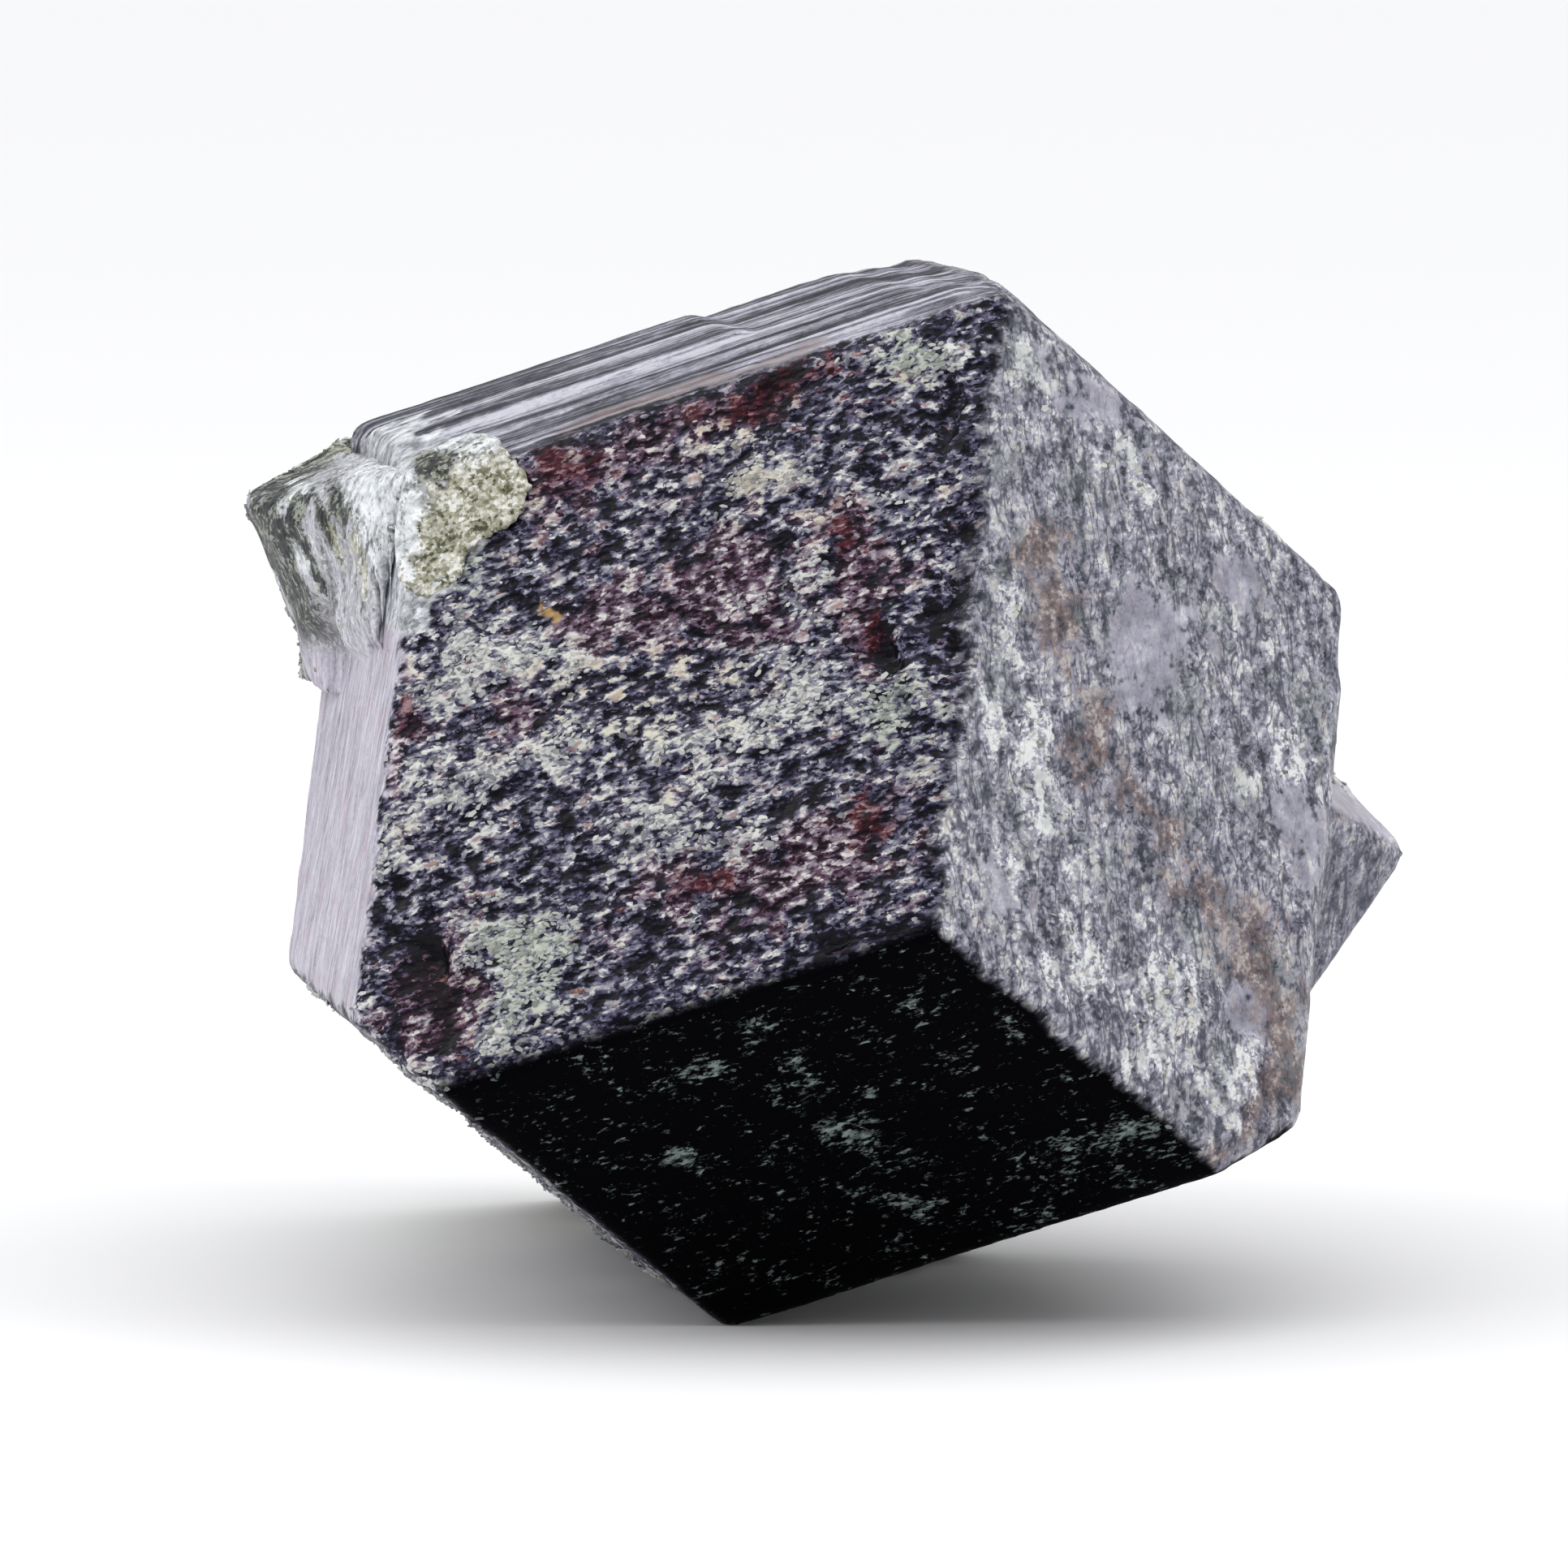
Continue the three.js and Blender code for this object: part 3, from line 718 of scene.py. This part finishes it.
    # On the bare faces below, the near-black colour is partly painted shade, and little light comes back
    # from them
    dull = paint.node(
        "ShaderNodeBsdfPrincipled",
        sockets={"Base Color": shaded_bare_stone, "Roughness": 0.55, "Specular IOR Level": 0.02, "Normal": bump},
    )
    glossy = Paint(paint.tree, shader["Base Color"].node.outputs[0])
    both = paint.tree.nodes.new("ShaderNodeMixShader")
    paint.join(bare, both.inputs[0])
    paint.join(glossy, both.inputs[1])
    paint.join(dull, both.inputs[2])
    output = next(n for n in paint.tree.nodes if n.type == "OUTPUT_MATERIAL")
    paint.tree.links.new(both.outputs[0], output.inputs["Surface"])
    return material


garnet_mesh.materials.clear()
garnet_mesh.materials.append(garnet_finish())
for face in garnet_mesh.polygons:
    face.use_smooth = True
garnet = bpy.data.objects.new("garnet", garnet_mesh)
bpy.context.scene.collection.objects.link(garnet)
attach(garnet, "root")
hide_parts("garnet_crystals")

# The matrix: soft grey-green mica schist in which the garnet grew, broken off along its wavy layers.
# It grips the crystal's back and flares from its left face, silver where mica lies flat and olive where
# it is weathered.
SCHIST_CELL = 0.42 * MM
ACROSS_LAYERS = (-0.276, 0.961, 0.0)
ALONG_LAYERS = (0.961, 0.276, 0.0)
FAN_WAY = (-0.25, 0.0, 0.968)  # up the flare, along its streaks
CLOSE_UP = 0.30  # closes the seam to the crystal, in mm
SUNK = 0.5  # mm behind the crystal's left face, where the schist low on the flare comes to lie
CRUST_SQUEEZE = 0.6  # the share by which the crust on the front face is pressed flat
SCHIST_STRAY = 0.35  # mm that the marks' outlines wander
# Marks on the schist, in mm from the crystal's centre as seen from the front
OLIVE_CRUST = [(-17.2, 14.0, 3.8, 4.2, -20), (-19.4, 10.8, 2.0, 2.6, 0)]
OLIVE_STREAKS = [
    (-23.1, 11.5, 0.35, 2.6, 5),
    (-24.6, 12.6, 0.3, 1.8, 15),
    (-25.4, 7.4, 0.35, 2.4, 8),
    (-21.2, 11.0, 0.4, 2.6, 0),
]
WHITE_MICA = [
    (-22.6, 15.0, 2.2, 1.8, 20),
    (-22.2, 12.8, 0.8, 2.4, 0),
    (-17.4, 18.2, 3.4, 1.2, 18),
    (-26.7, 14.8, 0.7, 0.9, 0),
    (-26.2, 11.6, 0.4, 1.4, 25),
    (-21.0, 13.4, 0.8, 3.0, 0),
]
DARK_STREAKS = [
    (-28.7, 13.4, 0.6, 1.7, 10),
    (-27.6, 12.8, 0.45, 1.5, 25),
    (-28.0, 15.0, 0.7, 0.5, 30),
    (-24.4, 14.5, 0.45, 1.3, 20),
    (-25.1, 13.4, 0.25, 1.7, 22),
    (-26.9, 10.1, 0.55, 1.8, 25),
    (-25.8, 11.0, 0.22, 2.4, 20),
    (-26.2, 8.0, 0.4, 1.8, 16),
    (-25.6, 5.6, 0.3, 1.4, 0),
    (-26.4, 16.1, 2.2, 0.3, 25),
    (-19.9, 16.4, 0.9, 0.6, 20),
    (-13.8, 18.9, 0.8, 0.6, 20),
]
FLARE_OUTSIDE = [(-28.0, 11.0, 5.0, 10.0, 0)]


def press(points, face, share, depth=0.0):
    """Moves points that stand out from a crystal face a share of the way to it, or to a depth behind it."""
    normal = np.array(normals[face])
    off_face = points @ normal - distances[face]
    points -= np.outer(share * np.clip(off_face + depth, 0, None), normal)


schist_mesh = fine_mesh("schist_matrix", SCHIST_CELL, SMOOTHING_ROUNDS)
points, outward = points_of(schist_mesh)
view = strayed(front_view(points), points, SCHIST_STRAY, 50)
across = np.array(ACROSS_LAYERS)
layers = noise(np.outer(points @ across, across) + 0.10 * points, 0.9, 21)
lumps = noise(points, 3.2, 22) + 0.6 * noise(points, 1.5, 23)
crumbs = noise(points, 0.9, 24)
resting = ramp(points[:, 2] + centre.z, 0.1, 1.4)
in_front = ramp(-points[:, 1] + 2.0 * noise(points, 2.2, 30), -12, -6)

# Low on the flare, toward the front, the schist gives way to the bare crystal along a ragged border
flare_low = ramp(2.0 * lumps + 1.4 * noise(points, 5.5, 34) - points[:, 2], -9.0, -5.0)
flare_low *= ramp(-points[:, 1], -5.0, 0.0) * ramp(points[:, 2], 0, 2)
press(points, "left", flare_low, SUNK)
crust = ramp(-points[:, 1], 8.0, 11.0)
press(points, "front", CRUST_SQUEEZE * crust)
flare = ovals(front_view(points), FLARE_OUTSIDE) * ramp(-points[:, 0], 22.5, 24.5)
relief = CLOSE_UP * (1 - flare_low) * (1 - crust) - 0.5 * flare + 0.10 * crumbs
relief += (1 - in_front) * (1 - flare) * (0.35 * layers + 0.40 * lumps) + 0.10 * in_front * lumps
put_points(schist_mesh, points + outward * (relief * resting)[:, None])

blotches = noise(points, 4.6, 25) + 0.7 * noise(points, 2.3, 26) + 0.4 * noise(points, 1.2, 29)
crust_olive = ovals(view, OLIVE_CRUST) * ramp(points[:, 0], -21.4, -20.4)
olive = (crust_olive + 0.8 * ovals(view, OLIVE_STREAKS)) * in_front
olive += 0.7 * (1 - in_front) * ramp(blotches, 0.2, 0.9)
fanned = drawn_out(points, FAN_WAY, 3.0)
streaks = noise(fanned, 0.9, 31) + 0.6 * noise(fanned, 0.5, 32)
outer_rim = ramp(-points[:, 0], 24.6, 26.4) * ramp(points[:, 2], 2, 5)
white = ovals(view, WHITE_MICA) * in_front
white += 0.6 * (1 - in_front) * ramp(-blotches - 0.5 * lumps, 0.2, 1.2)
white += 0.6 * outer_rim * ramp(-streaks, 0.3, 0.8)
dark = ovals(view, DARK_STREAKS) * in_front
dark += 0.5 * (1 - in_front) * ramp(-lumps, 0.1, 0.9)
dark += 0.9 * outer_rim * ramp(streaks, -0.1, 0.4)
silky = ramp(1.2 * lumps - points[:, 2], -8, -5)
silky *= ramp(1.5 * lumps - points[:, 1], -8.5, -6.5)
silky *= ramp(points[:, 2], 0, 2)
keep(
    schist_mesh,
    olive=olive,
    silver=in_front * (1 - crust_olive) * ramp(points[:, 2], 0, 2),
    low=np.maximum(flare_low, silky),
    white=white,
    dark=dark,
    green=0.4 + 0.4 * noise(points, 6, 27),
    cream=0.3 + 0.5 * noise(points, 5, 28),
    flaky=(0.35 + 0.35 * lumps) * resting * (1 - 0.97 * in_front),
)


def schist_finish():
    """Mottled grey-green schist, with silver, olive, white and dark parts laid over it."""
    material, paint, shader = new_finish("mica_schist")
    places = paint.places()
    flat = paint.drawn_out(places, ALONG_LAYERS, 2.2)
    fan = paint.drawn_out(places, FAN_WAY, 7.0)
    grit = paint.cells(places, 5.5, 0.7) - 0.5
    chip = paint.cells(flat, 2.6, 0.9) - 0.5
    speck = paint.grain(flat, 1.8, 2, 0.55) - 0.5
    patch = paint.grain(places, 0.6, 2, 0.5) - 0.5
    combed = paint.grain(paint.drawn_out(places, UPRIGHT, 9.0), 2.2, 3, 0.65) - 0.5
    silk = paint.grain(fan, 1.5, 3, 0.6, 0.4) - 0.5
    low = paint.layer("low")
    tone = 0.46 + speck * 2.0 + patch * 1.4 + grit * 0.4 + chip * 0.3
    colour = paint.tones(tone, (30, 33, 27), (88, 92, 80), (142, 143, 132), (206, 207, 200))
    silver = (paint.layer("silver") + silk * 0.8).between(0.30, 0.60)
    silver_tones = paint.tones(
        0.52 + silk * 2.4 + grit * 0.4 + speck * 0.8,
        (92, 95, 94),
        (158, 159, 164),
        (198, 197, 206),
        (232, 233, 236),
    )
    silver_tones = paint.mix(silver_tones, silky_tones(paint, combed, grit, patch), low)
    colour = paint.mix(colour, silver_tones, silver)
    olive = (paint.layer("olive") + speck * 1.4 + grit * 0.4).between(0.22, 0.55) * (1 - low)
    olive_tones = paint.tones(
        0.50 + speck * 1.1 + patch * 0.5 + grit * 0.7 + chip * 0.5,
        (70, 71, 54),
        (132, 131, 108),
        (170, 168, 150),
        (206, 204, 194),
        (234, 233, 228),
    )
    colour = paint.mix(colour, olive_tones, olive * 0.92)
    white = (paint.layer("white") + silk * 1.2 + grit * 0.4 + speck * 0.8).between(0.28, 0.70) * (1 - low)
    white_tones = paint.tones(tone + 0.1, (132, 136, 134), (208, 212, 215), (244, 247, 250))
    colour = paint.mix(colour, white_tones, white * 0.92)
    dark = (paint.layer("dark") + silk * 1.4 + grit * 0.5).between(0.22, 0.46) * (1 - low)
    crumbly = tone + chip * 0.5 + grit * 0.5
    dark_tones = paint.tones(crumbly, (4, 5, 3), (16, 19, 13), (50, 55, 44), (140, 145, 132))
    colour = paint.mix(colour, dark_tones, dark * 0.9)
    paint.join(colour, shader["Base Color"])
    paint.join(0.46 + speck * 0.5, shader["Roughness"])
    shader["Specular IOR Level"].default_value = 0.12
    height = (speck * 0.9 + chip * 0.5) * (1 - paint.layer("silver") * 0.6)
    height = height + paint.layer("silver") * (silk * (1 - low) + combed * low * 0.4)
    bump = paint.node("ShaderNodeBump", sockets={"Strength": 0.8, "Distance": 0.3 * MM, "Height": height})
    paint.join(bump, shader["Normal"])
    return material


schist_mesh.materials.clear()
schist_mesh.materials.append(schist_finish())
for face in schist_mesh.polygons:
    face.use_smooth = True
schist = bpy.data.objects.new("schist", schist_mesh)
bpy.context.scene.collection.objects.link(schist)
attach(schist, "root")
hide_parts("schist_matrix")

# Flakes: mica and chlorite grown on to the crystal's faces and loose on the broken schist.
# Each is a thin five-sided plate, 0.2 to 0.8 mm long, tilted a little, which lies more or less along the
# crystal's growth lines or the schist's layers.
FLAKE_SIDES = 5
LENGTHS = (0.45, 1.5)  # the least and the greatest, as shares of the usual length
WIDTHS = (0.25, 0.65)  # as shares of the flake's own length
THICKNESSES = (0.6, 1.6)  # as shares of the usual thickness
TILTS = (-1.0, 1.0)  # as shares of the greatest tilt
TURNS = (-0.8, 0.8)  # radians away from the way that they lie


def flake_tree():
    """Geometry Nodes that strew plates over a surface, as thickly as its flaky layer says."""
    tree = bpy.data.node_groups.new("mica_flakes", "GeometryNodeTree")
    inputs = {
        "Surface": "NodeSocketGeometry",
        "Flakes per area": "NodeSocketFloat",
        "Length": "NodeSocketFloat",
        "Thickness": "NodeSocketFloat",
        "Tilt": "NodeSocketFloat",
        "Way": "NodeSocketVector",
        "Seed": "NodeSocketInt",
        "Finish": "NodeSocketMaterial",
    }
    for name, kind in inputs.items():
        tree.interface.new_socket(name, in_out="INPUT", socket_type=kind)
    tree.interface.new_socket("Flakes", in_out="OUTPUT", socket_type="NodeSocketGeometry")
    given = tree.nodes.new("NodeGroupInput")

    def join(value, socket):
        if isinstance(value, bpy.types.NodeSocket):
            tree.links.new(value, socket)
        else:
            socket.default_value = value

    def node(kind, settings=None, **sockets):
        made = tree.nodes.new(kind)
        for name, value in (settings or {}).items():
            setattr(made, name, value)
        for name, value in sockets.items():
            join(value, next(s for s in made.inputs if s.enabled and s.name == name.replace("_", " ")))
        return made

    def out(made, name):
        return next(s for s in made.outputs if s.enabled and s.name == name)

    def times(a, b):
        made = node("ShaderNodeMath", {"operation": "MULTIPLY"})
        join(a, made.inputs[0])
        join(b, made.inputs[1])
        return made.outputs[0]

    def random(limits, seed):
        low, high = limits
        made = node("FunctionNodeRandomValue", {"data_type": "FLOAT"}, Min=low, Max=high, Seed=seed)
        return out(made, "Value")

    flaky = out(node("GeometryNodeInputNamedAttribute", {"data_type": "FLOAT"}, Name="flaky"), "Attribute")
    strewn = node(
        "GeometryNodeDistributePointsOnFaces",
        Mesh=out(given, "Surface"),
        Density=times(flaky, out(given, "Flakes per area")),
        Seed=out(given, "Seed"),
    )
    plate = node("GeometryNodeMeshCylinder", Vertices=FLAKE_SIDES, Radius=0.5, Depth=1.0)
    length = times(random(LENGTHS, 1), out(given, "Length"))
    size = node(
        "ShaderNodeCombineXYZ",
        X=length,
        Y=times(length, random(WIDTHS, 2)),
        Z=times(out(given, "Thickness"), random(THICKNESSES, 3)),
    )
    tip = node(
        "ShaderNodeCombineXYZ",
        X=times(random(TILTS, 4), out(given, "Tilt")),
        Y=times(random(TILTS, 5), out(given, "Tilt")),
        Z=random(TURNS, 6),
    )
    along = node(
        "FunctionNodeAlignRotationToVector",
        {"axis": "X", "pivot_axis": "Z"},
        Rotation=out(strewn, "Rotation"),
        Vector=out(given, "Way"),
    )
    turned = node(
        "FunctionNodeRotateRotation",
        {"rotation_space": "LOCAL"},
        Rotation=out(along, "Rotation"),
        Rotate_By=out(node("FunctionNodeEulerToRotation", Euler=out(tip, "Vector")), "Rotation"),
    )
    laid = node(
        "GeometryNodeInstanceOnPoints",
        Points=out(strewn, "Points"),
        Instance=out(plate, "Mesh"),
        Rotation=out(turned, "Rotation"),
        Scale=out(size, "Vector"),
    )
    tinted = node(
        "GeometryNodeStoreNamedAttribute",
        {"data_type": "FLOAT", "domain": "INSTANCE"},
        Geometry=out(laid, "Instances"),
        Name="tint",
        Value=random((0.0, 1.0), 7),
    )
    real = node("GeometryNodeRealizeInstances", Geometry=out(tinted, "Geometry"))
    finished = node(
        "GeometryNodeSetMaterial",
        Geometry=out(real, "Geometry"),
        Material=out(given, "Finish"),
    )
    end = tree.nodes.new("NodeGroupOutput")
    tree.links.new(out(finished, "Geometry"), end.inputs[0])
    return tree


def strew(name, surface, settings):
    """Flakes over a finished piece, as a plain mesh piece of their own."""
    mesh = surface.data.copy()
    holder = bpy.data.objects.new(name + "_holder", mesh)
    bpy.context.scene.collection.objects.link(holder)
    modifier = holder.modifiers.new("flakes", "NODES")
    modifier.node_group = flakes
    ids = {item.name: item.identifier for item in flakes.interface.items_tree if item.in_out == "INPUT"}
    for key, value in settings.items():
        modifier[ids[key]] = value
    strewn = holder.evaluated_get(bpy.context.evaluated_depsgraph_get())
    flake_mesh = bpy.data.meshes.new_from_object(strewn)
    bpy.data.objects.remove(holder)
    bpy.data.meshes.remove(mesh)
    piece = bpy.data.objects.new(name, flake_mesh)
    bpy.context.scene.collection.objects.link(piece)
    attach(piece, "root")


def flake_finish():
    """Mica from grey to near white, tinted as the surface under each flake is."""
    material, paint, shader = new_finish("mica_flakes")
    tint = paint.layer("tint")
    speck = paint.grain(paint.places(), 2.2, 2)
    light = (tint * 0.8 + speck * 0.4).between(0.1, 0.95)
    green = paint.layer("green").between(0.2, 0.8) * 0.45
    cream = paint.layer("cream").between(0.2, 0.8) * (0.15 + 0.4 * tint)
    olive = paint.layer("olive").between(0.2, 0.6) * (0.3 + 0.5 * tint)
    bare = paint.layer("bare").between(0.45, 0.55) * 0.85
    dark = paint.layer("dark").between(0.2, 0.6) * (0.9 - 0.6 * tint)
    colour = paint.mix(shade(74, 76, 90), shade(196, 197, 194), light)
    colour = paint.mix(colour, shade(150, 160, 140), green)
    colour = paint.mix(colour, shade(204, 197, 172), cream)
    colour = paint.mix(colour, shade(196, 190, 150), olive)
    # Flakes on the bare faces below are darkened as painted shade
    colour = paint.mix(colour, shade(44, 54, 52), bare)
    colour = paint.mix(colour, shade(50, 53, 42), dark)
    paint.join(colour, shader["Base Color"])
    paint.join(0.3 + 0.25 * speck, shader["Roughness"])
    return material


flakes = flake_tree()
plate_finish = flake_finish()
strew(
    "garnet_flakes",
    garnet,
    {
        "Flakes per area": 12.0e6,
        "Length": 0.42 * MM,
        "Thickness": 0.08 * MM,
        "Tilt": 0.7,
        "Way": LEDGE_WAY,
        "Seed": 3,
        "Finish": plate_finish,
    },
)
strew(
    "schist_flakes",
    schist,
    {
        "Flakes per area": 6.0e6,
        "Length": 0.5 * MM,
        "Thickness": 0.08 * MM,
        "Tilt": 0.5,
        "Way": ALONG_LAYERS,
        "Seed": 5,
        "Finish": plate_finish,
    },
)

# The setting: a plain pale floor under soft light from the sides and above, seen from the front and a
# little above, as a specimen is shown.
FLOOR_HALF = 6.0
FLOOR_COLOUR = (0.86, 0.86, 0.87, 1.0)
# Places in metres
SOFTBOXES = {"right_light": (0.55, -0.20, 0.30), "left_light": (-0.50, -0.15, 0.40)}
SOFTBOX_SIDE = 0.4
SOFTBOX_WATTS = 1.1
OVERHEAD_STRENGTH = 2.2
OVERHEAD_SPREAD = math.radians(100)  # so wide that it hardly throws a shadow
ROOM_COLOUR = (0.97, 0.98, 1.0, 1.0)
ROOM_STRENGTH = 0.40
LENS = 257.4
SENSOR_WIDTH = 36.0
AXIS_LEFT = 1.625  # mm that the line of sight passes left of the crystal's centre


def floor():
    mesh = bpy.data.meshes.new("floor")
    corners = [(x * FLOOR_HALF, y * FLOOR_HALF, 0) for x, y in ((-1, -1), (1, -1), (1, 1), (-1, 1))]
    mesh.from_pydata(corners, [], [(0, 1, 2, 3)])
    material, _, shader = new_finish("pale_floor")
    shader["Base Color"].default_value = FLOOR_COLOUR
    shader["Roughness"].default_value = 0.7
    shader["Specular IOR Level"].default_value = 0.0
    mesh.materials.append(material)
    piece = bpy.data.objects.new("floor", mesh)
    bpy.context.scene.collection.objects.link(piece)


def softbox(name, place):
    """A square soft light at a place in metres, aimed at the crystal's centre."""
    light = bpy.data.lights.new(name, "AREA")
    light.shape = "SQUARE"
    light.size = SOFTBOX_SIDE
    light.energy = SOFTBOX_WATTS
    lamp = bpy.data.objects.new(name, light)
    lamp.location = place
    lamp.rotation_euler = (centre * MM - Vector(place)).to_track_quat("-Z", "Y").to_euler()
    bpy.context.scene.collection.objects.link(lamp)


def overhead():
    """An even light from above."""
    light = bpy.data.lights.new("overhead", "SUN")
    light.energy = OVERHEAD_STRENGTH
    light.angle = OVERHEAD_SPREAD
    bpy.context.scene.collection.objects.link(bpy.data.objects.new("overhead", light))


floor()
overhead()
for name, place in SOFTBOXES.items():
    softbox(name, place)

world = bpy.data.worlds.new("white_room")
world.use_nodes = True
background = world.node_tree.nodes["Background"].inputs
background["Color"].default_value = ROOM_COLOUR
background["Strength"].default_value = ROOM_STRENGTH
bpy.context.scene.world = world
bpy.context.scene.view_settings.view_transform = "Standard"

camera = bpy.data.objects.new("camera", bpy.data.cameras.new("camera"))
camera.data.lens = LENS
camera.data.sensor_width = SENSOR_WIDTH
aim = centre + Vector((-AXIS_LEFT, 0, 0))
back = Vector((0, -math.cos(VIEW_DROP), math.sin(VIEW_DROP)))
camera.location = (aim + VIEW_DISTANCE * back) * MM
camera.rotation_euler = (math.pi / 2 - VIEW_DROP, 0, 0)
bpy.context.scene.collection.objects.link(camera)
bpy.context.scene.camera = camera
